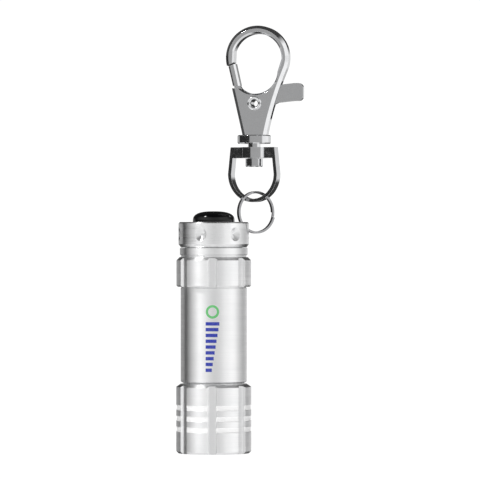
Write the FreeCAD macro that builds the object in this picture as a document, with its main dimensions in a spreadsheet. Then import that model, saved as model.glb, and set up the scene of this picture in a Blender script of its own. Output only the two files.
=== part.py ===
import FreeCAD, Part
import math
import operator
import os
from types import SimpleNamespace

import Sketcher
from FreeCAD import Placement, Rotation, Vector

# A keychain flashlight that hangs, lens down, from a swivel snap hook.
# Millimetres. +Z runs from the lens up to the hook, along the torch's axis; the origin is the
# centre of the head's front rim. The hook's clasp is on the +X side, its front faces -Y.

DIMENSIONS = {
    # Head, turned from bar, with flutes along it and three bright bands round it.
    "head_radius": 9.0, "head_length": 16.6, "head_cone_length": 0.7, "head_cone_drop": 1.0,
    "rim_chamfer": 0.5, "lip_radius": 6.1, "lip_thickness": 0.9, "head_bore": 7.3,
    "band_first": 5.8, "band_spacing": 2.6, "band_width": 1.2, "band_depth": 0.13,
    "flute_count": 7, "flute_depth": 0.55, "flute_floor": 1.4, "flute_mouth": 2.6,
    "flute_turn": -40.6,
    # Barrel with its fluted collar, and the male threads at both ends.
    "barrel_radius": 7.93, "barrel_bore": 6.3, "barrel_bottom": 16.8, "barrel_top": 39.7,
    "barrel_chamfer": 0.7, "thread_front": 11.5, "thread_radius": 7.22, "thread_depth": 0.25,
    "thread_pitch": 0.8, "collar_radius": 8.95, "collar_bottom": 39.9, "collar_top": 47.0,
    "neck_radius": 7.85, "rim_bottom": 47.5, "rim_radius": 8.12, "rim_top": 49.2,
    "tail_thread_radius": 6.85, "tail_thread_end": 51.8, "tail_bore": 6.05, "tail_bore_start": 44.4,
    "oring_wire": 0.28,
    # Tail cap with six drilled grip dimples and the key-ring hole through its edge.
    "cap_radius": 8.45, "cap_bottom": 49.3, "cap_top": 55.4, "cap_chamfer": 0.6,
    "cap_bore": 6.93, "cap_bore_end": 52.0, "boot_chamber": 5.75, "boot_seat": 53.6,
    "boot_hole": 5.12, "dimple_count": 6, "dimple_radius": 1.65, "dimple_depth": 1.15,
    "dimple_height": 52.45, "dimple_turn": -51.4, "ring_hole_radius": 1.2,
    # Button: rubber boot over a push switch.
    "boot_radius": 5.03, "boot_top": 58.0, "boot_flange": 5.7, "boot_wall": 1.05,
    "switch_radius": 5.65, "switch_bottom": 45.0, "switch_top": 51.3, "plunger_radius": 1.9,
    # Light unit and batteries.
    "lens_thickness": 1.2, "reflector_radius": 7.2, "reflector_start": 2.95,
    "reflector_end": 6.2, "led_radius": 2.5, "led_circle": 3.4, "board_bottom": 10.6,
    "board_thickness": 0.8, "cell_radius": 5.8, "cell_height": 5.4, "cell_start": 16.5,
    # Split ring, swivel eye and snap hook.
    "ring_radius": 4.84, "ring_wire": 0.52, "ring_turn_height": 0.45, "ring_facing": 31.5,
    "ring_across": 9.9, "ring_height": 57.75, "clasp_across": 9.72, "clasp_back": 1.85,
    "eye_facing": -19.0, "eye_depth": 2.8, "eye_wall": 0.8, "eye_top": 73.4, "eye_bar": 2.6,
    "eye_half_top": 5.54, "eye_half_width": 6.19, "eye_waist": 66.96, "eye_bottom": 60.2,
    "eye_boss": 3.25, "pin_radius": 1.5, "pin_clearance": 0.06, "pin_head_radius": 2.1,
    "pin_head_bottom": 68.7, "pin_end": 76.1, "disc_radius": 4.03, "disc_bottom": 74.25,
    "disc_top": 76.3, "hook_facing": -12.0, "hook_thickness": 3.8, "hook_loop_radius": 7.7,
    "hook_loop_across": 0.98, "hook_loop_height": 94.9, "window_across": 1.05,
    "window_height": 94.73, "window_radius": 5.92, "heel_across": 0.5, "heel_height": 91.72,
    "heel_radius": 5.5,
    "hook_outer_bevel": 0.75, "hook_inner_bevel": 0.4, "slot_width": 1.7, "lever_thickness": 1.4,
    "gate_thickness": 3.0, "gate_bevel": 0.45, "pivot_across": 0.45, "pivot_height": 83.9,
    "rivet_radius": 1.15, "rivet_hole": 0.75, "rivet_flange": 1.85, "rivet_head": 0.4,
    "lever_clearance": 0.06, "tab_corner": 1.2,
    # Fits and edge breaks that several pieces share.
    "fit": 0.05, "gap": 0.02, "edge_break": 0.15, "oring_gap": 0.03,
}

# Angles in degrees round a circle, from its right-hand side.
RING_HOLE_ANGLE = 228.5
RING_START_ANGLE = 176
LOOP_START_ANGLE = 193
LOOP_TOP_ANGLE = 84
LOOP_END_ANGLE = -25
RING_TURNS = 1.96

BAND_COUNT = 3
LED_COUNT = 3
CELL_COUNT = 4

# Outlines of the clasp's flat pieces: (across, height) corners in its own upright plane.
HOOK_FOOT = [(-2.6, 76.1), (3.2, 76.1)]
HOOK_WAIST = (5.3, 84.3)
HOOK_MOUTH = [(-9, 91.9), (-2.9, 94.6), (-1.4, 88.6), (-3.0, 87.45), (-9, 87.85)]
HOOK_SLOT = [
    (-8.0, 89.5), (-8.0, 87.0), (-4.5, 85.8), (-3.4, 83.0), (-2.2, 80.9), (0.2, 80.3),
    (3.0, 80.7), (8.0, 78.0), (14.0, 78.0), (14.0, 89.7), (7.0, 89.2), (3.0, 88.2), (0, 90.0),
]
GATE = [(-6.1, 92.8), (-4.4, 93.5), (-3.45, 89.3), (-3.2, 88.15), (-5.0, 88.15)]
LEVER_ARM = [
    (-4.9, 88.6), (-3.6, 88.6), (-2.6, 87.0), (-1.2, 86.0), (1.5, 85.9), (4.6, 87.2),
    (7.0, 88.45), (9.9, 88.75), (10.9, 88.75), (12.1, 87.55), (12.1, 85.65), (10.9, 84.45),
    (9.9, 84.45), (6.0, 84.05), (3.2, 82.8), (1.9, 81.6), (0.1, 81.1), (-1.7, 81.7),
    (-2.9, 83.4), (-3.9, 86.1), (-4.7, 87.6),
]
TAB_CORNERS = [(10.9, 87.55), (10.9, 85.65)]

OPERATORS = {"+": operator.add, "-": operator.sub, "*": operator.mul, "/": operator.truediv}


class Size:
    """A number together with the spreadsheet expression that gives it."""

    def __init__(self, value, text):
        self.value = float(value)
        self.text = text

    def __add__(self, other):
        return combine(self, "+", other)

    def __radd__(self, other):
        return combine(other, "+", self)

    def __sub__(self, other):
        return combine(self, "-", other)

    def __rsub__(self, other):
        return combine(other, "-", self)

    def __mul__(self, other):
        return combine(self, "*", other)

    def __rmul__(self, other):
        return combine(other, "*", self)

    def __truediv__(self, other):
        return combine(self, "/", other)

    def __float__(self):
        return self.value


def as_size(number):
    return number if isinstance(number, Size) else Size(number, repr(float(number)))


def combine(left, sign, right):
    left = as_size(left)
    right = as_size(right)
    value = OPERATORS[sign](left.value, right.value)
    return Size(value, f"({left.text} {sign} {right.text})")


def make_sheet():
    """Puts every driving dimension in a spreadsheet and gives them back as Sizes."""
    sheet = doc.addObject("Spreadsheet::Sheet", "Dims")
    for row, (name, number) in enumerate(DIMENSIONS.items(), start=1):
        sheet.set(f"A{row}", name)
        sheet.set(f"B{row}", str(number))
        sheet.setAlias(f"B{row}", name)
    doc.recompute()
    return SimpleNamespace(**{n: Size(v, "Dims." + n) for n, v in DIMENSIONS.items()})


def set_size(item, name, size):
    """Sets a property, and binds it to the sheet where it comes from there."""
    size = as_size(size)
    if "Dims." in size.text:
        item.setExpression(name, size.text)
    else:
        setattr(item, name, size.value)


# Building blocks --------------------------------------------------------------------------


def new_body(node):
    body = doc.addObject("PartDesign::Body", node)
    body.Label = node
    nodes[node] = body
    return body


def origin_part(body, role):
    return next(item for item in body.Origin.OriginFeatures if item.Role == role)


def polygon_sketch(body, plane, points, turn=0, lift=0):
    """A closed outline of straight lines whose corners are dimensioned from the origin."""
    sketch = body.newObject("Sketcher::SketchObject", "Outline")
    sketch.AttachmentSupport = [(origin_part(body, plane), "")]
    sketch.MapMode = "FlatFace"
    sketch.AttachmentOffset = Placement(
        Vector(0, 0, float(lift)), Rotation(Vector(0, 0, 1), float(turn))
    )
    flat = [Vector(float(across), float(up), 0) for across, up in points]
    for index, start in enumerate(flat):
        sketch.addGeometry(Part.LineSegment(start, flat[(index + 1) % len(flat)]), False)
    for index, (across, up) in enumerate(points):
        following = (index + 1) % len(points)
        sketch.addConstraint(Sketcher.Constraint("Coincident", index, 2, following, 1))
        for kind, size in (("DistanceX", across), ("DistanceY", up)):
            size = as_size(size)
            place = sketch.addConstraint(Sketcher.Constraint(kind, -1, 1, index, 1, size.value))
            if "Dims." in size.text:
                sketch.setExpression(f"Constraints[{place}]", size.text)
    return sketch


def turned(node, points):
    """A body of revolution about Z from (radius, height) corners."""
    body = new_body(node)
    sketch = polygon_sketch(body, "XZ_Plane", points)
    feature = body.newObject("PartDesign::Revolution", "Turning")
    feature.Profile = sketch
    feature.ReferenceAxis = (sketch, ["V_Axis"])
    feature.Angle = 360
    sketch.Visibility = False
    doc.recompute()
    return body


def ring_pattern(body, feature, count):
    pattern = body.newObject("PartDesign::PolarPattern", "Round")
    pattern.Originals = [feature]
    pattern.Axis = (origin_part(body, "Z_Axis"), [""])
    pattern.Angle = 360
    set_size(pattern, "Occurrences", count)
    body.Tip = pattern


def cut_flutes(body, radius, start, length):
    """Cuts the lengthwise flutes, with sloping walls, into a turned body."""
    overshoot = 0.6
    before = body.Shape.Volume
    spread = (dim.flute_mouth - dim.flute_floor) / 2 / dim.flute_depth
    outer_half = dim.flute_mouth / 2 + spread * overshoot
    floor_half = dim.flute_floor / 2
    outline = [
        (radius - dim.flute_depth, 0 - floor_half),
        (radius + overshoot, 0 - outer_half),
        (radius + overshoot, outer_half),
        (radius - dim.flute_depth, floor_half),
    ]
    sketch = polygon_sketch(body, "XY_Plane", outline, dim.flute_turn, start)
    pocket = body.newObject("PartDesign::Pocket", "Flute")
    pocket.Profile = sketch
    pocket.Reversed = True
    set_size(pocket, "Length", length)
    doc.recompute()
    ring_pattern(body, pocket, dim.flute_count)
    doc.recompute()
    if body.Shape.Volume > before - 1:
        raise RuntimeError(f"the flutes of {body.Label} cut nothing")


def primitive(kind, name, sizes, placement=None):
    item = doc.addObject("Part::" + kind, name)
    for key, size in sizes.items():
        set_size(item, key, size)
    if placement is not None:
        item.Placement = placement
    return item


def at_height(height):
    return Placement(Vector(0, 0, float(height)), Rotation())


def cylinder(name, radius, bottom, top, across=0.0, back=0.0):
    item = primitive("Cylinder", name, {"Radius": radius, "Height": top - bottom})
    item.Placement = Placement(Vector(float(across), float(back), float(bottom)), Rotation())
    if "Dims." in as_size(bottom).text:
        item.setExpression("Placement.Base.z", as_size(bottom).text)
    return item


def combined(kind, node, pieces):
    item = doc.addObject("Part::" + kind, node)
    if kind == "Cut":
        item.Base, item.Tool = pieces
    else:
        item.Shapes = pieces
    item.Label = node
    nodes[node] = item
    return item


def rubber_ring(node, radius, wire, height):
    ring = primitive("Torus", node, {"Radius1": radius, "Radius2": wire})
    ring.setExpression("Placement.Base.z", as_size(height).text)
    ring.Label = node
    nodes[node] = ring


def coil_spring(node, radius, wire, pitch, bottom, top, lean=0.0, placement=None):
    """A helical wire, sized between two heights; lean is its cone angle in degrees."""
    path = primitive("Helix", node + "_path", {"Pitch": pitch, "Radius": radius})
    set_size(path, "Height", top - bottom - 2 * wire)
    path.Angle = lean
    section = primitive("Circle", node + "_wire", {"Radius": wire})
    section.Placement = Placement(Vector(float(radius), 0, 0), Rotation(Vector(1, 0, 0), 90))
    doc.recompute()
    spring = doc.addObject("Part::Sweep", node)
    spring.Sections = [section]
    spring.Spine = (path, ["Edge1"])
    spring.Solid = True
    spring.Frenet = True
    spring.Placement = placement or at_height(bottom + wire)
    spring.Label = node
    nodes[node] = spring


def shaped(node, shape, placement=None):
    """A piece whose outline is set by Part's own curves."""
    feature = doc.addObject("Part::Feature", node)
    feature.Shape = shape
    if placement is not None:
        feature.Placement = placement
    feature.Label = node
    nodes[node] = feature
    return feature


def point(across, up):
    """A point of an upright outline that faces -Y."""
    return Vector(float(across), 0, float(up))


def straight_edges(points):
    return [Part.LineSegment(a, b).toShape() for a, b in zip(points, points[1:])]


def plate(edges, thickness):
    """An upright outline made solid, centred on its own plane."""
    outline = Part.Wire(Part.__sortEdges__(edges))
    solid = Part.Face(outline).extrude(Vector(0, float(thickness), 0))
    solid.translate(Vector(0, -float(thickness) / 2, 0))
    return solid


def polygon_plate(points, thickness):
    corners = [point(*corner) for corner in points]
    return plate(straight_edges(corners + corners[:1]), thickness)


def rod_through(radius, thickness, across, up):
    """A cylinder that lies from front to back."""
    start = Vector(float(across), -float(thickness) / 2, float(up))
    return Part.makeCylinder(float(radius), float(thickness), start, Vector(0, 1, 0))


def clasp_placement(facing):
    base = Vector(dim.clasp_across.value, dim.clasp_back.value, 0)
    return Placement(base, Rotation(Vector(0, 0, 1), float(facing)))


# Head --------------------------------------------------------------------------------------


def make_head_bezel():
    front = dim.head_radius - dim.rim_chamfer
    lip_bevel = 0.4
    outline = [(dim.lip_radius + lip_bevel, 0), (front, 0), (dim.head_radius, dim.rim_chamfer)]
    slope = 0.08
    for number in range(BAND_COUNT):
        centre = dim.band_first + dim.band_spacing * number
        low = centre - dim.band_width / 2
        high = centre + dim.band_width / 2
        floor = dim.head_radius - dim.band_depth
        outline += [(dim.head_radius, low), (floor, low + slope)]
        outline += [(floor, high - slope), (dim.head_radius, high)]
    outline += [
        (dim.head_radius, dim.head_length - dim.head_cone_length),
        (dim.head_radius - dim.head_cone_drop, dim.head_length),
        (dim.head_bore, dim.head_length),
        (dim.head_bore, dim.lip_thickness),
        (dim.lip_radius, dim.lip_thickness),
        (dim.lip_radius, lip_bevel),
    ]
    body = turned("head_bezel", outline)
    cut_flutes(body, dim.head_radius, 0, dim.head_length)


def make_lens():
    back = dim.lip_thickness + dim.lens_thickness
    edge = dim.head_bore - dim.fit
    turned("lens", [(0, dim.lip_thickness), (edge, dim.lip_thickness), (edge, back), (0, back)])
    wire = (dim.reflector_start - back) / 2
    wall_gap = 0.175
    rubber_ring("lens_oring", dim.head_bore - wall_gap - wire, wire, back + wire)


def led_places():
    for number in range(LED_COUNT):
        angle = math.radians(90 + 360 * number / LED_COUNT)
        yield number + 1, dim.led_circle * math.cos(angle), dim.led_circle * math.sin(angle)


def make_reflector():
    disc = cylinder("ReflectorDisc", dim.reflector_radius, dim.reflector_start, dim.reflector_end)
    hole_radius = dim.led_radius + dim.fit
    flare = 0.33
    well_depth = 2.0
    wells = []
    for number, across, back in led_places():
        well = primitive("Cone", f"Well{number}", {
            "Radius1": hole_radius + flare, "Radius2": hole_radius, "Height": well_depth})
        spot = Vector(float(across), float(back), dim.reflector_start.value - dim.gap.value)
        well.Placement = Placement(spot, Rotation())
        start = dim.reflector_start - 1
        hole = cylinder(f"LedHole{number}", hole_radius, start, dim.reflector_end + 1,
                        across, back)
        wells += [well, hole]
    tools = doc.addObject("Part::MultiFuse", "Wells")
    tools.Shapes = wells
    combined("Cut", "reflector", (disc, tools))


def make_leds():
    """Three 5 mm light-emitting diodes, domes down, standing on the board."""
    flange_height = 1.0
    flange_step = 0.4
    setback = 0.4
    dome_centre = dim.reflector_start + setback + dim.led_radius
    for number, across, back in led_places():
        case = cylinder(f"LedCase{number}", dim.led_radius, dome_centre, dim.board_bottom,
                        across, back)
        flange = cylinder(f"LedFlange{number}", dim.led_radius + flange_step,
                          dim.board_bottom - flange_height, dim.board_bottom, across, back)
        dome = primitive("Sphere", f"LedDome{number}", {"Radius": dim.led_radius})
        spot = Vector(float(across), float(back), float(dome_centre))
        dome.Placement = Placement(spot, Rotation())
        combined("MultiFuse", f"led_{number}", [case, flange, dome])


def make_circuit_board():
    back = dim.board_bottom + dim.board_thickness
    board_gap = 0.4
    edge = dim.head_bore - board_gap
    turned("circuit_board", [
        (0, dim.board_bottom), (edge, dim.board_bottom), (edge, back), (0, back),
    ])
    long = 3.2
    wide = 1.6
    tall = 0.6
    offset = 3.6
    resistor = primitive("Box", "board_resistor", {"Length": long, "Width": wide, "Height": tall})
    resistor.Placement = Placement(Vector(-long / 2, offset, float(back)), Rotation())
    resistor.Label = "board_resistor"
    nodes["board_resistor"] = resistor
    spring_radius = 2.4
    wire = 0.25
    pitch = 1.3
    top = dim.cell_start - dim.gap
    coil_spring("board_contact_spring", spring_radius, wire, pitch, back, top)


# Barrel and batteries ----------------------------------------------------------------------


def thread_outline(radius, start, turns):
    """Corners of a thread's ridges, from its start upwards."""
    corners = []
    for number in range(turns):
        foot = start + dim.thread_pitch * number
        corners += [(radius, foot), (radius - dim.thread_depth, foot + dim.thread_pitch / 2)]
    return corners + [(radius, start + dim.thread_pitch * turns)]


def oring_groove(radius, start):
    width = 2 * (dim.oring_wire + dim.oring_gap)
    floor = radius - 2 * dim.oring_wire - dim.oring_gap
    return [(radius, start), (floor, start), (floor, start + width), (radius, start + width)]


def make_barrel():
    radius = dim.barrel_radius
    lead_in = 0.2
    foot_bevel = 0.4
    collar_bevel = 0.3
    collar_cone = 0.75
    rim_break = 0.12
    groove_back = 1.3
    groove_start = dim.barrel_bottom - groove_back
    tail_groove = dim.rim_top + 0.2
    tail_thread = dim.rim_top + 1.1
    outline = [
        (dim.barrel_bore, dim.thread_front),
        (dim.thread_radius - lead_in, dim.thread_front),
    ]
    outline += thread_outline(dim.thread_radius, dim.thread_front + lead_in, 4)
    outline += oring_groove(dim.thread_radius, groove_start)
    outline += [
        (dim.thread_radius, dim.barrel_bottom),
        (radius - dim.barrel_chamfer, dim.barrel_bottom),
        (radius, dim.barrel_bottom + foot_bevel),
        (radius, dim.barrel_top - dim.edge_break),
        (radius - dim.edge_break, dim.barrel_top),
        (radius - dim.edge_break, dim.collar_bottom),
        (dim.collar_radius - collar_bevel, dim.collar_bottom),
        (dim.collar_radius, dim.collar_bottom + collar_bevel),
        (dim.collar_radius, dim.collar_top - collar_cone),
        (dim.collar_radius - collar_cone, dim.collar_top),
        (dim.neck_radius, dim.collar_top),
        (dim.neck_radius, dim.rim_bottom),
        (dim.rim_radius - rim_break, dim.rim_bottom),
        (dim.rim_radius, dim.rim_bottom + rim_break),
        (dim.rim_radius, dim.rim_top),
        (dim.tail_thread_radius, dim.rim_top),
    ]
    outline += oring_groove(dim.tail_thread_radius, tail_groove)[:3]
    outline += thread_outline(dim.tail_thread_radius, tail_thread, 1)
    outline += [
        (dim.tail_thread_radius, dim.tail_thread_end),
        (dim.tail_bore, dim.tail_thread_end),
        (dim.tail_bore, dim.tail_bore_start),
        (dim.barrel_bore, dim.tail_bore_start),
    ]
    body = turned("barrel", outline)
    length = dim.collar_top - dim.collar_bottom
    cut_flutes(body, dim.collar_radius, dim.collar_bottom, length)
    half = dim.oring_wire + dim.oring_gap
    front_ring = dim.thread_radius - dim.oring_wire
    rear_ring = dim.tail_thread_radius - dim.oring_wire
    rubber_ring("head_oring", front_ring, dim.oring_wire, groove_start + half)
    rubber_ring("tail_oring", rear_ring, dim.oring_wire, tail_groove + half)


def stack_end():
    return dim.cell_start + dim.cell_height * CELL_COUNT


def make_batteries():
    cap_radius = dim.cell_radius - 0.7
    cap_rise = 0.5
    bevel = 0.3
    cap_bevel = 0.4
    gasket_height = 0.15
    gasket_inset = 0.1
    gaskets = []
    for number in range(CELL_COUNT):
        low = dim.cell_start + dim.cell_height * number
        shoulder = low + dim.cell_height - cap_rise
        gasket_top = shoulder + gasket_height
        turned(f"battery_cell_{number + 1}", [
            (0, low),
            (dim.cell_radius - bevel, low),
            (dim.cell_radius, low + bevel),
            (dim.cell_radius, shoulder),
            (cap_radius, shoulder),
            (cap_radius, shoulder + bevel),
            (cap_radius - cap_bevel, low + dim.cell_height),
            (0, low + dim.cell_height),
        ])
        outer_radius = dim.cell_radius - gasket_inset
        outer = cylinder(f"Gasket{number}", outer_radius, shoulder, gasket_top)
        inner = cylinder(f"GasketHole{number}", cap_radius, shoulder, gasket_top)
        ring = doc.addObject("Part::Cut", f"GasketRing{number}")
        ring.Base = outer
        ring.Tool = inner
        gaskets.append(ring)
    group = doc.addObject("Part::Compound", "cell_gaskets")
    group.Links = gaskets
    group.Label = "cell_gaskets"
    nodes["cell_gaskets"] = group
    cell_gap = 0.07
    front_reach = 0.1
    rear_reach = 0.2
    inside = dim.cell_radius + cell_gap
    outside = dim.barrel_bore - dim.fit
    low = dim.cell_start - front_reach
    high = stack_end() + rear_reach
    turned("battery_sleeve", [(inside, low), (outside, low), (outside, high), (inside, high)])


# Tail cap, button and switch ---------------------------------------------------------------


def ring_placement():
    """Lays a ring drawn flat into its upright plane; its own X runs to the right and back."""
    facing = Rotation(Vector(0, 0, 1), dim.ring_facing.value)
    base = Vector(dim.ring_across.value, dim.clasp_back.value, dim.ring_height.value)
    return Placement(base, facing.multiply(Rotation(Vector(1, 0, 0), 90)))


def ring_hole_shape():
    """The straight hole through the cap's upper edge, along the ring's wire."""
    where = math.radians(RING_HOLE_ANGLE)
    inset = 0.08
    reach = dim.ring_radius.value - inset
    middle = Vector(reach * math.cos(where), reach * math.sin(where), 0)
    along = Vector(-math.sin(where), math.cos(where), 0)
    half = 6.0
    radius = dim.ring_hole_radius.value
    sink = 0.9
    sink_start = 1.25
    hole = Part.makeCylinder(radius, 2 * half, middle - along * half, along)
    countersink = Part.makeCone(radius, radius + sink, sink, middle + along * sink_start, along)
    return hole.fuse(countersink)


def make_tail_cap():
    foot_rise = 0.8
    top_bevel = 0.3
    outline = [
        (dim.cap_bore, dim.cap_bottom),
        (dim.cap_radius - dim.cap_chamfer, dim.cap_bottom),
        (dim.cap_radius, dim.cap_bottom + foot_rise),
        (dim.cap_radius, dim.cap_top - top_bevel),
        (dim.cap_radius - top_bevel, dim.cap_top),
        (dim.boot_hole + dim.edge_break, dim.cap_top),
        (dim.boot_hole, dim.cap_top - dim.edge_break),
        (dim.boot_hole, dim.boot_seat),
        (dim.boot_chamber, dim.boot_seat),
        (dim.boot_chamber, dim.cap_bore_end),
        (dim.cap_bore, dim.cap_bore_end),
    ]
    body = turned("cap_turning", outline)
    del nodes["cap_turning"]
    before = body.Shape.Volume
    reach = 0.5
    spread = dim.dimple_radius / dim.dimple_depth * reach
    tip = dim.cap_radius - dim.dimple_depth
    sketch = polygon_sketch(body, "XZ_Plane", [
        (tip, dim.dimple_height),
        (dim.cap_radius + reach, dim.dimple_height),
        (dim.cap_radius + reach, dim.dimple_height + dim.dimple_radius + spread),
    ])
    groove = body.newObject("PartDesign::Groove", "Dimple")
    groove.Profile = sketch
    groove.ReferenceAxis = (sketch, ["Edge1"])
    groove.Angle = 360
    doc.recompute()
    ring_pattern(body, groove, dim.dimple_count)
    doc.recompute()
    if body.Shape.Volume > before - 1:
        raise RuntimeError("the grip dimples cut nothing")
    turn = Rotation(Vector(0, 0, 1), dim.dimple_turn.value)
    body.Placement = Placement(Vector(), turn)
    hole = doc.addObject("Part::Feature", "RingHole")
    hole.Shape = ring_hole_shape()
    hole.Placement = ring_placement()
    combined("Cut", "tail_cap", (body, hole))


def dome(radius, top, fall):
    """A shallow dome: the part of a ball that rises by fall over a given radius."""
    ball = (radius * radius + fall * fall) / (2 * fall)
    return Part.makeSphere(ball, Vector(0, 0, top - ball))


def make_button_boot():
    """The rubber boot: a flange under the cap, an upright wall and a shallow dome."""
    radius = dim.boot_radius.value
    top = dim.boot_top.value
    wall = dim.boot_wall.value
    flange_height = 0.8
    fall = 1.4
    brow_radius = 0.7
    low = dim.boot_seat.value - dim.fit.value - flange_height
    stem = Part.makeCylinder(radius, top - low, Vector(0, 0, low)).common(dome(radius, top, fall))
    brow = [edge for edge in stem.Edges if edge.isClosed() and edge.BoundBox.ZMin > low + 1]
    stem = stem.makeFillet(brow_radius, brow)
    flange = Part.makeCylinder(dim.boot_flange.value, flange_height, Vector(0, 0, low))
    cavity = Part.makeCylinder(radius - wall, top - wall - low, Vector(0, 0, low))
    cavity = cavity.common(dome(radius, top - wall, fall))
    shaped("button_boot", stem.fuse(flange).cut(cavity).removeSplitter())


def make_switch():
    seat_drop = 0.9
    ring_inset = 0.4
    top = dim.boot_seat - seat_drop
    low = dim.switch_top + dim.fit
    inside = dim.boot_radius - ring_inset
    turned("boot_retainer", [
        (inside, low), (dim.boot_flange, low), (dim.boot_flange, top), (inside, top),
    ])
    clearance = 0.08
    floor_thickness = 1.0
    bore = dim.plunger_radius + clearance
    floor = dim.switch_bottom + floor_thickness
    turned("switch_housing", [
        (0, dim.switch_bottom), (dim.switch_radius, dim.switch_bottom),
        (dim.switch_radius, dim.switch_top), (bore, dim.switch_top), (bore, floor), (0, floor),
    ])
    plunger_lift = 3.2
    plunger_bevel = 0.4
    plunger_bottom = dim.switch_bottom + plunger_lift
    plunger_top = dim.boot_top - dim.boot_wall - dim.gap
    turned("switch_plunger", [
        (0, plunger_bottom), (dim.plunger_radius, plunger_bottom),
        (dim.plunger_radius, plunger_top - plunger_bevel),
        (dim.plunger_radius - plunger_bevel, plunger_top), (0, plunger_top),
    ])
    spring_radius = 1.3
    spring_wire = 0.18
    spring_pitch = 0.6
    coil_spring("switch_spring", spring_radius, spring_wire, spring_pitch, floor + dim.gap,
                plunger_bottom - dim.gap)
    plate_thickness = 0.4
    plate_radius = 4.5
    plate_bottom = dim.switch_bottom - plate_thickness
    turned("switch_contact_plate", [
        (0, plate_bottom), (plate_radius, plate_bottom),
        (plate_radius, dim.switch_bottom), (0, dim.switch_bottom),
    ])
    contact_radius = 2.6
    contact_wire = 0.28
    contact_pitch = 1.5
    coil_spring("tail_contact_spring", contact_radius, contact_wire, contact_pitch,
                stack_end() + dim.gap, plate_bottom - dim.gap)


# Split ring, swivel eye and snap hook ------------------------------------------------------


def make_split_ring():
    """Two turns of flat wire, one on the other."""
    turn = dim.ring_turn_height.value
    wire = dim.ring_wire.value
    thick = turn - dim.gap.value
    path = Part.makeHelix(turn, turn * RING_TURNS, dim.ring_radius.value)
    half_wide = wire / 2
    corners = [Vector(dim.ring_radius.value + across * half_wide, 0, up * thick / 2)
               for across, up in ((-1, -1), (1, -1), (1, 1), (-1, 1), (-1, -1))]
    section = Part.makePolygon(corners)
    coil = Part.Wire(path).makePipeShell([section], True, True)
    coil.translate(Vector(0, 0, -turn * RING_TURNS / 2))
    coil.rotate(Vector(), Vector(0, 0, 1), RING_START_ANGLE)
    shaped("split_ring", coil, ring_placement())


def eye_outline(inset):
    """The eye's outline: straight sides that spread a little, closed by half an ellipse."""
    waist = point(dim.eye_half_width - inset, dim.eye_waist)
    other = point(0 - (dim.eye_half_width - inset), dim.eye_waist)
    drop = dim.eye_waist.value - dim.eye_bottom.value - inset
    ellipse = Part.Ellipse(point(0, dim.eye_waist.value - drop), waist, point(0, dim.eye_waist))
    bow = ellipse.toShape()
    low = point(0, dim.eye_waist.value - drop)
    half = 20.0
    keep = Part.makeBox(2 * half, 2 * half, dim.eye_waist.value - low.z + 1,
                        Vector(-half, -half, low.z - 1))
    bow = bow.common(keep)
    top = dim.eye_top.value if inset == 0 else dim.eye_top.value - dim.eye_bar.value
    lean = (dim.eye_half_width.value - dim.eye_half_top.value) / (
        dim.eye_top.value - dim.eye_waist.value)
    half_top = dim.eye_half_width.value - inset - lean * (top - dim.eye_waist.value)
    sides = straight_edges([waist, point(half_top, top), point(-half_top, top), other])
    return list(bow.Edges) + sides


def make_swivel_eye():
    band = plate(eye_outline(0), dim.eye_depth)
    window = plate(eye_outline(dim.eye_wall.value), dim.eye_depth.value + 2)
    bar_bottom = dim.eye_top.value - dim.eye_bar.value
    boss = Part.makeCylinder(dim.eye_boss.value, dim.eye_bar.value, Vector(0, 0, bar_bottom))
    hole_radius = dim.pin_radius.value + dim.pin_clearance.value
    hole = Part.makeCylinder(hole_radius, 10, Vector(0, 0, bar_bottom - 3))
    eye = band.cut(window).fuse(boss).cut(hole).removeSplitter()
    shaped("swivel_eye", eye, clasp_placement(dim.eye_facing))


def make_swivel_pin():
    """A rivet: its head is under the eye's bar, its shank is fixed in the hook's base."""
    bevel = 0.2
    end_play = 0.15
    head_top = dim.eye_top - dim.eye_bar - end_play
    outline = [
        (0, dim.pin_head_bottom),
        (dim.pin_head_radius - bevel, dim.pin_head_bottom),
        (dim.pin_head_radius, dim.pin_head_bottom + bevel),
        (dim.pin_head_radius, head_top),
        (dim.pin_radius, head_top),
        (dim.pin_radius, dim.pin_end),
        (0, dim.pin_end),
    ]
    body = turned("swivel_pin", outline)
    body.Placement = clasp_placement(dim.hook_facing)


def on_circle(across, up, radius, degrees):
    angle = math.radians(degrees)
    return point(across + radius * math.cos(angle), up + radius * math.sin(angle))


def face_edges(solid):
    """The edges that lie flat in a plate's front or back face."""
    return [edge for edge in solid.Edges if edge.BoundBox.YLength < 1e-6]


def rim_edges(solid, tool):
    """The face edges that a tool left where it cut through the plate."""
    rims = []
    for edge in face_edges(solid):
        middle = edge.valueAt((edge.FirstParameter + edge.LastParameter) / 2)
        if tool.distToShape(Part.Vertex(middle))[0] < 1e-6:
            rims.append(edge)
    return rims


def hook_blank():
    """The whole hook: a loop that runs down into a tapered plate, with bevelled edges."""
    across = dim.hook_loop_across.value
    height = dim.hook_loop_height.value
    radius = dim.hook_loop_radius.value
    left = on_circle(across, height, radius, LOOP_START_ANGLE)
    top = on_circle(across, height, radius, LOOP_TOP_ANGLE)
    right = on_circle(across, height, radius, LOOP_END_ANGLE)
    foot_left, foot_right = [point(*corner) for corner in HOOK_FOOT]
    waist = point(*HOOK_WAIST)
    edges = [Part.Arc(left, top, right).toShape(), Part.Arc(right, waist, foot_right).toShape()]
    edges += straight_edges([foot_right, foot_left, left])
    blank = plate(edges, dim.hook_thickness)
    rims = [edge for edge in face_edges(blank)
            if edge.BoundBox.ZMax > dim.disc_top.value + 1]
    return blank.makeChamfer(dim.hook_outer_bevel.value, rims)


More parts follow.
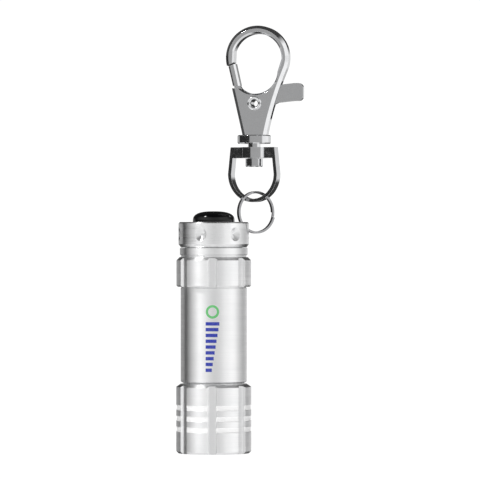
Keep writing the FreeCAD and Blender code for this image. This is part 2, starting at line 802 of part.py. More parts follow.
def hook_window():
    """The egg-shaped opening: an upper and a lower circle and the lines that touch both."""
    upper = (dim.window_across.value, dim.window_height.value, dim.window_radius.value)
    lower = (dim.heel_across.value, dim.heel_height.value, dim.heel_radius.value)
    gap_across = upper[0] - lower[0]
    gap_up = upper[1] - lower[1]
    distance = math.hypot(gap_across, gap_up)
    axis = math.degrees(math.atan2(gap_up, gap_across))
    lean = math.degrees(math.acos((lower[2] - upper[2]) / distance))
    starts = [on_circle(*upper, axis + 180 - lean), on_circle(*upper, axis - 180 + lean)]
    ends = [on_circle(*lower, axis + 180 - lean), on_circle(*lower, axis - 180 + lean)]
    edges = [
        Part.Arc(starts[0], on_circle(*upper, axis), starts[1]).toShape(),
        Part.Arc(ends[0], on_circle(*lower, axis + 180), ends[1]).toShape(),
    ]
    edges += straight_edges([starts[0], ends[0]])
    edges += straight_edges([starts[1], ends[1]])
    return edges


def make_hook_body():
    blank = hook_blank()
    window = plate(hook_window(), dim.hook_thickness.value + 2)
    across = dim.pivot_across.value
    up = dim.pivot_height.value
    mouth = polygon_plate(HOOK_MOUTH, dim.hook_thickness.value + 2)
    hook = blank.cut(window).cut(mouth)
    hook = hook.makeChamfer(dim.hook_inner_bevel.value, rim_edges(hook, window))
    slot = polygon_plate(HOOK_SLOT, dim.slot_width)
    bore = rod_through(dim.rivet_radius, dim.hook_thickness.value + 2, across, up)
    disc = Part.makeCylinder(dim.disc_radius.value, dim.disc_top.value - dim.disc_bottom.value,
                             Vector(0, 0, dim.disc_bottom.value))
    disc_bevel = 0.2
    disc = disc.makeChamfer(disc_bevel, [edge for edge in disc.Edges if edge.isClosed()])
    hole_depth = dim.pin_end.value - dim.disc_bottom.value
    pin_hole = Part.makeCylinder(dim.pin_radius.value, hole_depth + 1,
                                 Vector(0, 0, dim.disc_bottom.value - 1))
    hook = hook.cut(slot).cut(bore).fuse(disc).cut(pin_hole).removeSplitter()
    shaped("hook_body", hook, clasp_placement(dim.hook_facing))


def make_gate_lever():
    """One lever: the gate that closes the hook, the part in the slot, and the thumb tab."""
    across = dim.pivot_across.value
    up = dim.pivot_height.value
    long_edge = 3
    gate = polygon_plate(GATE, dim.gate_thickness)
    rims = [edge for edge in face_edges(gate) if edge.BoundBox.ZLength > long_edge]
    gate = gate.makeChamfer(dim.gate_bevel.value, rims)
    arm = polygon_plate(LEVER_ARM, dim.lever_thickness)
    corners = [rod_through(dim.tab_corner, dim.lever_thickness, *spot) for spot in TAB_CORNERS]
    lever = gate.fuse([arm] + corners)
    bore_radius = dim.rivet_radius.value + dim.lever_clearance.value
    pocket_radius = 2.2
    through = 6
    bore = rod_through(bore_radius, through, across, up)
    pocket = Part.makeCylinder(pocket_radius, through, Vector(across, 0, up), Vector(0, 1, 0))
    lever = lever.cut(bore).cut(pocket).removeSplitter()
    shaped("gate_lever", lever, clasp_placement(dim.hook_facing))


def make_rivet_and_spring():
    """The hollow rivet through the hook, and the coil that closes the gate round it."""
    across = dim.pivot_across.value
    up = dim.pivot_height.value
    half = dim.hook_thickness.value / 2
    flange_cone = 0.35
    rivet = rod_through(dim.rivet_radius, dim.hook_thickness.value, across, up)
    for side in (-1, 1):
        start = Vector(across, side * half, up)
        flange = Part.makeCone(dim.rivet_flange.value, dim.rivet_flange.value - flange_cone,
                               dim.rivet_head.value, start, Vector(0, side, 0))
        rivet = rivet.fuse(flange)
    through = 8
    rivet = rivet.cut(rod_through(dim.rivet_hole, through, across, up)).removeSplitter()
    shaped("pivot_rivet", rivet, clasp_placement(dim.hook_facing))
    place = clasp_placement(dim.hook_facing)
    lay = Rotation(Vector(1, 0, 0), -90)
    setback = 0.23
    radius = 1.68
    wire = 0.15
    pitch = 0.34
    length = 0.6
    base = place.multVec(Vector(across, setback, up))
    placement = Placement(base, place.Rotation.multiply(lay))
    coil_spring("gate_spring", radius, wire, pitch, 0.0, length, placement=placement)


def check_document():
    doc.recompute()
    for item in doc.Objects:
        if "Invalid" in item.State or "Error" in item.State:
            raise RuntimeError(f"{item.Label} did not compute: {item.State}")
    for node, item in nodes.items():
        if item.Shape.isNull() or not item.Shape.isValid():
            raise RuntimeError(f"{node} has no valid shape")


def export_nodes():
    for node, item in nodes.items():
        item.Shape.exportStep(f"parts/{node}.step")
        print(f"{node:22s} {len(item.Shape.Solids)} solid(s) {item.Shape.Volume:9.2f} mm3")


os.makedirs("parts", exist_ok=True)
doc = FreeCAD.newDocument("keychain_flashlight")
nodes = {}
dim = make_sheet()
make_head_bezel()
make_lens()
make_reflector()
make_leds()
make_circuit_board()
make_barrel()
make_batteries()
make_tail_cap()
make_button_boot()
make_switch()
make_split_ring()
make_swivel_eye()
make_swivel_pin()
make_hook_body()
make_gate_lever()
make_rivet_and_spring()
check_document()
export_nodes()
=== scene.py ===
"""The keychain flashlight's looks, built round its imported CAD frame.

Lengths are metres, in the frame's own axes: +Z from the lens to the snap hook, front at -Y.
"""

import math

import bmesh
import bpy
from mathutils import Matrix, Vector


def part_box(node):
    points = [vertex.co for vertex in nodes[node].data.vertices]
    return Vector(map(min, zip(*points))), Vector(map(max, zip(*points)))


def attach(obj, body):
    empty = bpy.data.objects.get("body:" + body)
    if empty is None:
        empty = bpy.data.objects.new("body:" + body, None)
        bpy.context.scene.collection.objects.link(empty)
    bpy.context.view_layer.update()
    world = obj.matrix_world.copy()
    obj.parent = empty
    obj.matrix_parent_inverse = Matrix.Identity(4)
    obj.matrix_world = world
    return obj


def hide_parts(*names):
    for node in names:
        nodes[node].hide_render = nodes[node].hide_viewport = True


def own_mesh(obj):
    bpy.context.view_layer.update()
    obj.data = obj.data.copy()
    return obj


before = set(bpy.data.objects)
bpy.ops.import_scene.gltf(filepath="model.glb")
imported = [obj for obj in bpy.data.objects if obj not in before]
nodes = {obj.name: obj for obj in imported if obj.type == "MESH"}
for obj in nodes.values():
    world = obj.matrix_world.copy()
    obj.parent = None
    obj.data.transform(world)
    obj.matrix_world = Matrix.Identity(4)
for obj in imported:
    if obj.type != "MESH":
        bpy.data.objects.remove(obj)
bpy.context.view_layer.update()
MM = 0.001


# Materials ---------------------------------------------------------------------------------


class Shader:
    """A material with one Principled shader and short ways to add nodes to it."""

    def __init__(self, name, color, metallic=0.0, roughness=0.5, **sockets):
        self.material = bpy.data.materials.new(name)
        self.material.use_nodes = True
        self.tree = self.material.node_tree
        self.surface = self.tree.nodes["Principled BSDF"]
        self.surface.inputs["Base Color"].default_value = (*color, 1.0)
        self.surface.inputs["Metallic"].default_value = metallic
        self.surface.inputs["Roughness"].default_value = roughness
        for socket, value in sockets.items():
            self.surface.inputs[socket.replace("_", " ")].default_value = value
        self.place = self.node("ShaderNodeTexCoord").outputs["Object"]

    def node(self, kind, **settings):
        made = self.tree.nodes.new(kind)
        for key, value in settings.items():
            setattr(made, key, value)
        return made

    def link(self, source, target):
        self.tree.links.new(source, target)

    def noise(self, scale, detail=3.0, stretch=(1, 1, 1), rough=0.55):
        """Noise whose scale is in cells per metre, squeezed along the axes by stretch."""
        mapping = self.node("ShaderNodeMapping")
        mapping.inputs["Scale"].default_value = [scale * part for part in stretch]
        self.link(self.place, mapping.inputs["Vector"])
        noise = self.node("ShaderNodeTexNoise")
        noise.inputs["Scale"].default_value = 1.0
        noise.inputs["Detail"].default_value = detail
        noise.inputs["Roughness"].default_value = rough
        self.link(mapping.outputs["Vector"], noise.inputs["Vector"])
        return noise.outputs["Fac"]

    def ranged(self, value, low, high, start=0.3, end=0.7):
        """Maps a value between start and end to low and high."""
        mapped = self.node("ShaderNodeMapRange")
        for socket, number in zip(("From Min", "From Max", "To Min", "To Max"),
                                  (start, end, low, high)):
            mapped.inputs[socket].default_value = number
        self.link(value, mapped.inputs["Value"])
        return mapped.outputs["Result"]

    def math(self, operation, first, second=None):
        node = self.node("ShaderNodeMath", operation=operation)
        for socket, value in zip(node.inputs, (first, second)):
            if isinstance(value, (int, float)):
                socket.default_value = value
            elif value is not None:
                self.link(value, socket)
        return node.outputs[0]

    def mix(self, factor, first, second):
        node = self.node("ShaderNodeMix", data_type="RGBA")
        self.link(factor, node.inputs["Factor"])
        for socket, value in zip((node.inputs[6], node.inputs[7]), (first, second)):
            if isinstance(value, tuple):
                socket.default_value = (*value, 1.0)
            else:
                self.link(value, socket)
        return node.outputs[2]

    def color(self, source):
        self.link(source, self.surface.inputs["Base Color"])

    def roughness(self, source):
        self.link(source, self.surface.inputs["Roughness"])

    def round_edges(self, radius):
        """Shades sharp edges as if they were broken to this radius."""
        bevel = self.node("ShaderNodeBevel", samples=6)
        bevel.inputs["Radius"].default_value = radius
        self.link(bevel.outputs["Normal"], self.surface.inputs["Normal"])

    def bump(self, height, depth, strength=1.0):
        """Adds relief on top of what is already there; depth is in metres."""
        bump = self.node("ShaderNodeBump")
        bump.inputs["Strength"].default_value = strength
        bump.inputs["Distance"].default_value = depth
        self.link(height, bump.inputs["Height"])
        normal = self.surface.inputs["Normal"]
        if normal.is_linked:
            self.link(normal.links[0].from_socket, bump.inputs["Normal"])
        self.link(bump.outputs["Normal"], normal)

    def split_place(self):
        split = self.node("ShaderNodeSeparateXYZ")
        self.link(self.place, split.inputs["Vector"])
        return split.outputs

    def inside(self, value, low, high):
        """1 where the value lies between two limits, else 0."""
        above = self.math("GREATER_THAN", value, low)
        below = self.math("LESS_THAN", value, high)
        return self.math("MULTIPLY", above, below)


def turned_aluminium(name, roughness=0.36, painted_highlight_bands=()):
    """Satin aluminium: the lathe's fine rings spread its highlights along the torch; optional
    bands get a painted highlight.
    """
    shader = Shader(name, (0.9, 0.905, 0.91), metallic=1.0, roughness=roughness,
                    Anisotropic=0.8, Anisotropic_Rotation=0.25)
    around_axis = shader.node("ShaderNodeTangent", direction_type="RADIAL", axis="Z")
    shader.link(around_axis.outputs["Tangent"], shader.surface.inputs["Tangent"])
    shader.round_edges(0.1 * MM)
    rings = shader.noise(9000, 2.0, (0.012, 0.012, 1.0))
    broad = shader.noise(900, 2.0, (0.03, 0.03, 1.0))
    clouds = shader.noise(140, 3.0)
    tint = shader.mix(shader.ranged(clouds, 0.0, 1.0), (0.9, 0.905, 0.91), (0.95, 0.95, 0.95))
    tint = shader.mix(shader.ranged(rings, 0.0, 0.25), tint, (0.75, 0.76, 0.77))
    rough = shader.math("ADD", shader.ranged(rings, roughness - 0.04, roughness + 0.05),
                        shader.ranged(broad, -0.02, 0.03))
    # Painted highlight: inside the bands on the lands, the colour turns white, rougher and less
    # metallic to stand in for bright reflections.
    if painted_highlight_bands:
        outputs = shader.split_place()
        radius = shader.node("ShaderNodeVectorMath", operation="LENGTH")
        flat = shader.node("ShaderNodeCombineXYZ")
        shader.link(outputs["X"], flat.inputs["X"])
        shader.link(outputs["Y"], flat.inputs["Y"])
        shader.link(flat.outputs["Vector"], radius.inputs[0])
        land = shader.math("GREATER_THAN", radius.outputs["Value"], LAND_RADIUS)
        highlight_band_mask = 0.0
        for low, high in painted_highlight_bands:
            highlight_band_mask = shader.math("MAXIMUM", shader.inside(outputs["Z"], low, high), highlight_band_mask)
        highlight_band_mask = shader.math("MULTIPLY", highlight_band_mask, land)
        tint = shader.mix(highlight_band_mask, tint, (1.0, 1.0, 1.0))
        rough = shader.math("ADD", rough, shader.math("MULTIPLY", highlight_band_mask, 0.2))
        metal = shader.math("MULTIPLY_ADD", highlight_band_mask, -0.6)
        metal.node.inputs[2].default_value = 1.0
        shader.link(metal, shader.surface.inputs["Metallic"])
    shader.color(tint)
    shader.roughness(rough)
    shader.bump(rings, 0.003 * MM, 0.5)
    shader.bump(broad, 0.008 * MM, 0.3)
    return shader.material


def plated(name, color=(0.74, 0.745, 0.755), roughness=0.07):
    """Polished plating over a casting: slow ripple, fine scratches, duller in the wear."""
    shader = Shader(name, color, metallic=1.0, roughness=roughness)
    shader.round_edges(0.06 * MM)
    ripple = shader.noise(260, 2.0)
    scratches = shader.noise(5200, 2.0, (1.0, 1.0, 0.05))
    wear = shader.noise(900, 4.0)
    darker = tuple(part * 0.86 for part in color)
    shader.color(shader.mix(shader.ranged(wear, 0.0, 0.5), color, darker))
    shader.roughness(shader.math("ADD", shader.ranged(wear, roughness - 0.02, roughness + 0.05),
                                 shader.ranged(scratches, 0.0, 0.05, 0.55, 0.75)))
    shader.bump(ripple, 0.03 * MM, 0.25)
    shader.bump(scratches, 0.002 * MM, 0.25)
    return shader.material


def rubber(name, color=(0.002, 0.002, 0.0025), roughness=0.12, grain=2600, gloss=0.3):
    shader = Shader(name, color, roughness=roughness, Specular_IOR_Level=gloss)
    fine = shader.noise(grain, 4.0)
    dust = shader.noise(700, 5.0)
    lighter = tuple(part * 2.0 + 0.002 for part in color)
    shader.color(shader.mix(shader.ranged(dust, 0.0, 0.5, 0.5, 0.8), color, lighter))
    shader.roughness(shader.ranged(dust, roughness - 0.03, roughness + 0.08))
    shader.bump(fine, 0.006 * MM, 0.35)
    return shader.material


def plastic(name, color, roughness=0.45, grain=3500):
    shader = Shader(name, color, roughness=roughness)
    fine = shader.noise(grain, 3.0)
    flow = shader.noise(240, 2.0)
    darker = tuple(part * 0.88 for part in color)
    shader.color(shader.mix(shader.ranged(flow, 0.0, 1.0), darker, color))
    shader.roughness(shader.ranged(fine, roughness - 0.06, roughness + 0.08))
    shader.bump(fine, 0.01 * MM, 0.3)
    return shader.material


def clear_plastic(name, color=(0.98, 0.99, 1.0), ior=1.55):
    shader = Shader(name, color, roughness=0.02, IOR=ior, Transmission_Weight=1.0)
    flow = shader.noise(320, 2.0)
    shader.roughness(shader.ranged(flow, 0.01, 0.05))
    shader.bump(flow, 0.01 * MM, 0.15)
    return shader.material


def wire_metal(name, color, roughness=0.2):
    shader = Shader(name, color, metallic=1.0, roughness=roughness)
    drawn = shader.noise(2400, 3.0)
    dull = tuple(part * 0.7 for part in color)
    shader.color(shader.mix(shader.ranged(drawn, 0.0, 0.6), color, dull))
    shader.roughness(shader.ranged(drawn, roughness - 0.05, roughness + 0.12))
    shader.bump(drawn, 0.003 * MM, 0.3)
    return shader.material


def circuit_green(name):
    """Solder mask with paler copper tracks under it."""
    shader = Shader(name, (0.01, 0.12, 0.04), roughness=0.3)
    tracks = shader.node("ShaderNodeTexVoronoi", feature="DISTANCE_TO_EDGE", distance="CHEBYCHEV")
    tracks.inputs["Scale"].default_value = 620
    shader.link(shader.place, tracks.inputs["Vector"])
    track = shader.math("LESS_THAN", tracks.outputs["Distance"], 0.13)
    shader.color(shader.mix(track, (0.01, 0.12, 0.04), (0.03, 0.24, 0.08)))
    shader.bump(track, 0.02 * MM, 0.4)
    shader.roughness(shader.ranged(shader.noise(1500), 0.25, 0.4))
    return shader.material


def ink(name, color):
    """Pad-printed ink: slightly uneven, with the metal's grain showing through it."""
    shader = Shader(name, color, roughness=0.4, Coat_Weight=0.2)
    thin = shader.noise(2600, 4.0)
    paler = tuple(part * 0.75 + 0.12 for part in color)
    shader.color(shader.mix(shader.ranged(thin, 0.0, 0.45, 0.45, 0.75), color, paler))
    shader.roughness(shader.ranged(thin, 0.3, 0.5))
    shader.bump(shader.noise(9000, 2.0, (0.012, 0.012, 1.0)), 0.004 * MM, 0.4)
    return shader.material


# Places that several pieces share, in millimetres, and the clasp's turn in degrees.
CLASP_ACROSS = 9.72
CLASP_BACK = 1.85
HOOK_FACING = -12
PIVOT_ACROSS = 0.45
PIVOT_HEIGHT = 83.9
BARREL_RADIUS = 7.93

# The head's three bands of painted highlight, white and less metallic, which show only on the
# lands between the flutes.
HIGHLIGHT_BAND_CENTRES = [5.8, 8.4, 11.0]
LAND_RADIUS = 8.72 * MM
HALF_HIGHLIGHT_BAND = 0.6
painted_highlight_bands = [((c - HALF_HIGHLIGHT_BAND) * MM, (c + HALF_HIGHLIGHT_BAND) * MM) for c in HIGHLIGHT_BAND_CENTRES]
CHROME = plated("plated_chrome")
SPRING_NICKEL = wire_metal("spring_nickel", (0.6, 0.6, 0.6))
NODE_MATERIALS = {
    turned_aluminium("head_aluminium", painted_highlight_bands=painted_highlight_bands): ["head_bezel"],
    turned_aluminium("body_aluminium"): ["barrel"],
    turned_aluminium("cap_aluminium", roughness=0.3): ["tail_cap"],
    CHROME: ["hook_body", "gate_lever", "swivel_eye", "swivel_pin"],
    wire_metal("ring_nickel", (0.4, 0.4, 0.41), 0.14): ["split_ring"],
    clear_plastic("lens_clear"): ["lens"],
    clear_plastic("led_epoxy", (0.99, 0.98, 0.93)): ["led_1", "led_2", "led_3"],
    rubber("seal_rubber", roughness=0.4): ["lens_oring", "head_oring", "tail_oring"],
    plated("reflector_metal", (0.88, 0.88, 0.9), 0.05): ["reflector"],
    circuit_green("board_green"): ["circuit_board"],
    plastic("resistor_black", (0.02, 0.02, 0.022)): ["board_resistor"],
    SPRING_NICKEL: [
        "board_contact_spring", "switch_spring", "tail_contact_spring", "gate_spring"],
    wire_metal("cell_nickel", (0.66, 0.66, 0.64), 0.24): [
        f"battery_cell_{number}" for number in range(1, 5)],
    plastic("gasket_nylon", (0.05, 0.12, 0.28)): ["cell_gaskets"],
    plastic("sleeve_white", (0.75, 0.75, 0.72)): ["battery_sleeve"],
    plastic("switch_black", (0.02, 0.02, 0.021)): [
        "boot_retainer", "switch_housing", "switch_plunger"],
    wire_metal("contact_brass", (0.75, 0.52, 0.2), 0.22): ["switch_contact_plate"],
}


def dress(node, material):
    """Gives a CAD node its material."""
    piece = nodes[node]
    piece.data.materials.clear()
    piece.data.materials.append(material)


for material, names in NODE_MATERIALS.items():
    for name in names:
        dress(name, material)


def new_piece(name, mesh_data, material, body):
    piece = bpy.data.objects.new(name, mesh_data)
    bpy.context.scene.collection.objects.link(piece)
    mesh_data.materials.append(material)
    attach(piece, body)
    return piece


def lathe(name, profile, material, body, place=Matrix(), steps=96):
    """Turns a closed (radius, height) profile, in millimetres, about Z, then places it."""
    mesh = bmesh.new()
    rings = []
    for step in range(steps):
        angle = 2 * math.pi * step / steps
        rings.append([
            mesh.verts.new((r * MM * math.cos(angle), r * MM * math.sin(angle), z * MM))
            for r, z in profile
        ])
    for step, ring in enumerate(rings):
        following = rings[(step + 1) % steps]
        for index in range(len(profile)):
            after = (index + 1) % len(profile)
            mesh.faces.new((ring[index], following[index], following[after], ring[after]))
    bmesh.ops.remove_doubles(mesh, verts=mesh.verts, dist=1e-7)
    bmesh.ops.transform(mesh, matrix=place, verts=mesh.verts)
    bmesh.ops.recalc_face_normals(mesh, faces=mesh.faces)
    data = bpy.data.meshes.new(name)
    mesh.to_mesh(data)
    mesh.free()
    data.shade_smooth()
    return new_piece(name, data, material, body)


# Button boot -------------------------------------------------------------------------------


def crown(radius, base, height, steps=14, power=0.75):
    """A rounded dome's outline, from its rim to the axis."""
    points = []
    for step in range(steps + 1):
        turn = math.pi / 2 * step / steps
        points.append((radius * max(math.cos(turn), 0.0) ** power,
                       base + height * math.sin(turn) ** power))
    return points


def make_boot():
    """The rubber skin over the switch: a domed cap with a flange under the tail cap's edge."""
    flange_radius, flange_low, flange_high = 5.65, 53.65, 54.3
    outside, inside = 5.03, 3.95
    outer = crown(outside, 55.7, 2.3)
    inner = crown(inside, 55.2, 1.85)
    profile = [(flange_radius, flange_low), (flange_radius, flange_high), (outside, flange_high)]
    profile += outer + inner[::-1] + [(inside, flange_low)]
    boot = lathe("boot_skin", profile, rubber("boot_rubber"), "tail_cap")
    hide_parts("button_boot")
    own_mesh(boot)


# Switch spring -----------------------------------------------------------------------------


def make_press_spring():
    """The switch's coil, built at its rest length."""
    radius, wire, low, high, turns = 1.3, 0.18, 46.02, 48.18, 3
    steps, sides = 96, 10
    rise = high - low - 2 * wire
    mesh = bmesh.new()
    rings = []
    for step in range(steps + 1):
        share = step / steps
        along = 2 * math.pi * turns * share
        ring = []
        for side in range(sides):
            around_wire = 2 * math.pi * side / sides
            reach = radius + wire * math.cos(around_wire)
            ring.append(mesh.verts.new((
                reach * MM * math.cos(along), reach * MM * math.sin(along),
                (low + wire + rise * share + wire * math.sin(around_wire)) * MM)))
        rings.append(ring)
    for ring, following in zip(rings, rings[1:]):
        for side in range(sides):
            after = (side + 1) % sides
            mesh.faces.new((ring[side], ring[after], following[after], following[side]))
    mesh.faces.new(rings[0])
    mesh.faces.new(rings[-1])
    bmesh.ops.recalc_face_normals(mesh, faces=mesh.faces)
    data = bpy.data.meshes.new("press_spring")
    mesh.to_mesh(data)
    mesh.free()
    data.shade_smooth()
    spring = new_piece("press_spring", data, SPRING_NICKEL, "tail_cap")
    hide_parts("switch_spring")
    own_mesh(spring)


# Hook rivet --------------------------------------------------------------------------------


def clasp_frame(facing, height):
    """Where the clasp stands: its own X runs across it and its own Y from front to back."""
    middle = Vector((CLASP_ACROSS * MM, CLASP_BACK * MM, height * MM))
    return Matrix.Translation(middle) @ Matrix.Rotation(math.radians(facing), 4, "Z")


def make_eyelet():
    """A tubular rivet with a rolled collar on each face of the hook."""
    face, hole, shank, roll = 1.9, 0.86, 1.12, 0.36
    profile = []
    for side in (1, -1):
        collar = []
        for step in range(9):
            turn = math.radians(-90 + 225 * step / 8)
            collar.append((hole + roll + 0.12 + roll * math.cos(turn),
                           face + roll * (0.55 + 0.9 * math.sin(turn))))
        collar = [(shank, face - 0.1)] + collar + [(hole, face + 0.2), (hole, face - 0.5)]
        profile += [(r, side * z) for r, z in (collar if side == 1 else collar[::-1])]
    shift = Matrix.Translation((PIVOT_ACROSS * MM, 0, 0))
    lay = clasp_frame(HOOK_FACING, PIVOT_HEIGHT) @ shift @ Matrix.Rotation(
        math.radians(90), 4, "X")
    eyelet = lathe("rolled_eyelet", profile, CHROME, "hook", lay, steps=64)
    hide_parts("pivot_rivet")


# Printed level gauge on the barrel ---------------------------------------------------------


def wrapped(name, outline_rows, material):
    """A thin print on the barrel: rows of (angle, height) points, skinned and thickened."""
    mesh = bmesh.new()
    lift = 0.012
    grids = []
    for depth in (BARREL_RADIUS - 0.02, BARREL_RADIUS + lift):
        grids.append([[mesh.verts.new((depth * MM * math.sin(turn), -depth * MM * math.cos(turn),
                                       up * MM)) for turn, up in row] for row in outline_rows])
    inner, outer = grids
    rows, columns = len(inner), len(inner[0])
    for row in range(rows - 1):
        for column in range(columns - 1):
            for grid in grids:
                mesh.faces.new((grid[row][column], grid[row][column + 1],
                                grid[row + 1][column + 1], grid[row + 1][column]))
    border = [(0, c) for c in range(columns)] + [(r, columns - 1) for r in range(1, rows)]
    border += [(rows - 1, c) for c in range(columns - 2, -1, -1)]
    border += [(r, 0) for r in range(rows - 2, 0, -1)]
    for index, (row, column) in enumerate(border):
        next_row, next_column = border[(index + 1) % len(border)]
        mesh.faces.new((inner[row][column], inner[next_row][next_column],
                        outer[next_row][next_column], outer[row][column]))
    bmesh.ops.remove_doubles(mesh, verts=mesh.verts, dist=1e-8)
    bmesh.ops.recalc_face_normals(mesh, faces=mesh.faces)
    data = bpy.data.meshes.new(name)
    mesh.to_mesh(data)
    mesh.free()
    return new_piece(name, data, material, "barrel")


def make_print():
    """A plain level gauge: a ladder of bars under a small ring."""
    blue = ink("ink_blue", (0.012, 0.03, 0.36))
    green = ink("ink_green", (0.12, 0.5, 0.16))
    left, pitch, low = -1.9 / BARREL_RADIUS, 1.38, 19.7
    for bar in range(9):
        width = (1.5 + 1.8 * bar / 8) / BARREL_RADIUS
        bottom = low + pitch * bar
        turns = [left + width * step / 6 for step in range(7)]
        rows = [[(turn, up) for turn in turns] for up in (bottom, bottom + 0.82)]
        wrapped(f"gauge_bar_{bar + 1}", rows, blue)
    centre_turn, centre_up, inner, outer = -0.25 / BARREL_RADIUS, 34.0, 1.05, 1.6
    steps = 40
    rows = []
    for radius in (inner, outer):
        rows.append([(centre_turn + radius * math.cos(2 * math.pi * s / steps) / BARREL_RADIUS,
                      centre_up + radius * math.sin(2 * math.pi * s / steps))
                     for s in range(steps + 1)])
    wrapped("gauge_ring", rows, green)


# Light emitters ----------------------------------------------------------------------------


def make_emitters():
    """Each LED's metal cup and phosphor die, seen through its clear dome."""
    metal = plated("led_cup_metal", (0.85, 0.85, 0.84), 0.12)
    phosphor = plastic("led_phosphor", (0.85, 0.68, 0.12), 0.5)
    for number in range(1, 4):
        low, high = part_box(f"led_{number}")
        middle = [(a + b) / 2 / MM for a, b in zip(low, high)]
        base = high[2] / MM - 3.2
        place = Matrix.Translation((middle[0] * MM, middle[1] * MM, base * MM))
        cup = [(0.35, 0.0), (0.95, -0.75), (1.1, -0.75), (1.1, 1.4), (0.0, 1.4), (0.0, 0.0)]
        lathe(f"led_cup_{number}", cup, metal, "light_unit", place, steps=48)
        die = [(0.0, -0.45), (0.3, -0.42), (0.55, -0.28), (0.3, 0.0), (0.0, 0.0)]
        lathe(f"led_die_{number}", die, phosphor, "light_unit", place, steps=40)


make_boot()
make_press_spring()
make_eyelet()
make_print()
make_emitters()


# Light and camera --------------------------------------------------------------------------


def softbox(name, azimuth, elevation, distance, size, power, aim):
    """An area light; azimuth 0 stands at the camera and 90 at the object's right."""
    data = bpy.data.lights.new(name, "AREA")
    data.shape = "RECTANGLE"
    data.size, data.size_y = size
    data.energy = power
    light = bpy.data.objects.new(name, data)
    bpy.context.scene.collection.objects.link(light)
    turn = math.radians(azimuth)
    lift = math.radians(elevation)
    away = Vector((math.sin(turn) * math.cos(lift), -math.cos(turn) * math.cos(lift),
                   math.sin(lift)))
    light.location = aim + away * distance
    light.rotation_euler = away.to_track_quat("Z", "Y").to_euler()


class Studio:
    """The world's nodes: a white room with dark and bright panels round the object."""

    def __init__(self, world):
        self.tree = world.node_tree
        self.split = self.tree.nodes.new("ShaderNodeSeparateXYZ")
        place = self.tree.nodes.new("ShaderNodeTexCoord")
        self.tree.links.new(place.outputs["Generated"], self.split.inputs["Vector"])

    def math(self, operation, *values):
        node = self.tree.nodes.new("ShaderNodeMath")
        node.operation = operation
        for socket, value in zip(node.inputs, values):
            if isinstance(value, (int, float)):
                socket.default_value = value
            else:
                self.tree.links.new(value, socket)
        return node.outputs[0]

    def azimuth(self):
        """The compass angle as 0 to 1: a half is at the camera, more is to the right."""
        front = self.math("MULTIPLY", self.split.outputs["Y"], -1.0)
        turn = self.math("ARCTAN2", self.split.outputs["X"], front)
        return self.math("MULTIPLY_ADD", turn, 0.5 / math.pi, 0.5)

    def ramp(self, value, stops):
        """Brightness by angle: stops are (position, brightness up to 2)."""
        node = self.tree.nodes.new("ShaderNodeValToRGB")
        ramp = node.color_ramp
        while len(ramp.elements) < len(stops):
            ramp.elements.new(0.5)
        for element, (position, level) in zip(ramp.elements, stops):
            element.position = position
            element.color = (level / 2, level / 2, level / 2, 1)
        self.tree.links.new(value, node.inputs["Fac"])
        return self.math("MULTIPLY", node.outputs["Color"], 2.0)

    def blend(self, factor, first, second):
        keep = self.math("SUBTRACT", 1.0, factor)
        return self.math("ADD", self.math("MULTIPLY", first, keep),
                         self.math("MULTIPLY", second, factor))


def around(stops):
    """Turns (degrees from the camera, level) stops into ramp stops."""
    return [((degrees + 180) / 360, level) for degrees, level in stops]


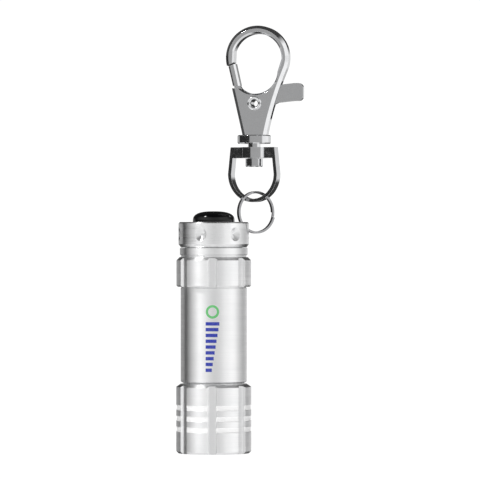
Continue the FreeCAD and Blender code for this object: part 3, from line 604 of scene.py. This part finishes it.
def make_world():
    world = bpy.data.worlds.new("studio")
    world.use_nodes = True
    studio = Studio(world)
    tree = studio.tree
    turn = studio.azimuth()
    up = studio.split.outputs["Z"]
    level = studio.ramp(turn, around([
        (-180, 0.4), (-126, 0.5), (-118, 0.03), (-36, 0.03), (-29, 0.44), (52, 0.46),
        (60, 1.05), (105, 1.15), (125, 0.85), (165, 0.8), (180, 0.4)]))
    wide = studio.ramp(turn, around([
        (-180, 0.03), (-114, 0.08), (-102, 0.4), (-88, 0.8), (-62, 1.3), (-42, 1.35),
        (-24, 1.1), (0, 0.8), (26, 0.95), (44, 1.35), (82, 1.1), (106, 0.3), (122, 0.08),
        (180, 0.03)]))
    height = studio.math("ABSOLUTE", up)
    beyond = studio.ramp(height, [(0.0, 0.0), (0.08, 0.0), (0.16, 2.0), (1.0, 2.0)])
    beyond = studio.math("MULTIPLY", beyond, 0.5)
    room = studio.blend(beyond, level, wide)
    overhead = studio.math("MULTIPLY", studio.ramp(up, [
        (0.0, 0.0), (0.55, 0.0), (0.8, 2.0), (1.0, 2.0)]), 0.5)
    room = studio.blend(overhead, room, 0.06)
    under = studio.math("MULTIPLY", up, -1.0)
    below = studio.math("MULTIPLY", studio.ramp(under, [
        (0.0, 0.0), (0.5, 0.0), (0.75, 2.0), (1.0, 2.0)]), 0.5)
    room = studio.blend(below, room, 0.9)
    background = tree.nodes["Background"]
    tree.links.new(room, background.inputs["Color"])
    white = tree.nodes.new("ShaderNodeBackground")
    white.inputs["Color"].default_value = (1, 1, 1, 1)
    white.inputs["Strength"].default_value = 1.05
    path = tree.nodes.new("ShaderNodeLightPath")
    mix = tree.nodes.new("ShaderNodeMixShader")
    tree.links.new(path.outputs["Is Camera Ray"], mix.inputs["Fac"])
    tree.links.new(background.outputs["Background"], mix.inputs[1])
    tree.links.new(white.outputs["Background"], mix.inputs[2])
    tree.links.new(mix.outputs["Shader"], tree.nodes["World Output"].inputs["Surface"])
    bpy.context.scene.world = world


def make_studio():
    """A small high key light gives the rubber its one sharp highlight."""
    middle = Vector((0, 0, 51 * MM))
    softbox("key_left", -67, 52, 0.5, (0.045, 0.045), 1.0, middle)
    make_world()
    bpy.context.scene.view_settings.view_transform = "Standard"


def make_floor():
    """A plain pale floor well below the hanging torch."""
    level = -60 * MM
    half = 1.2
    data = bpy.data.meshes.new("floor")
    corners = [(-half, -half, level), (half, -half, level), (half, half, level),
               (-half, half, level)]
    data.from_pydata(corners, [], [(0, 1, 2, 3)])
    floor = bpy.data.objects.new("floor", data)
    bpy.context.scene.collection.objects.link(floor)
    shader = Shader("floor_white", (0.93, 0.93, 0.93), roughness=0.9)
    shader.surface.inputs["Emission Color"].default_value = (1, 1, 1, 1)
    shader.surface.inputs["Emission Strength"].default_value = 0.75
    data.materials.append(shader.material)
    floor.visible_glossy = False


def make_camera():
    """Level with the middle of the object, straight in front of it."""
    view_height = 115.2 * MM
    distance = 0.9
    data = bpy.data.cameras.new("camera")
    data.sensor_width = 36
    data.lens = data.sensor_width * distance / view_height
    data.clip_start = 0.01
    camera = bpy.data.objects.new("camera", data)
    bpy.context.scene.collection.objects.link(camera)
    camera.location = (6.3 * MM, -distance, 51.1 * MM)
    camera.rotation_euler = (math.radians(90), 0, 0)
    bpy.context.scene.camera = camera


make_studio()
make_floor()
make_camera()
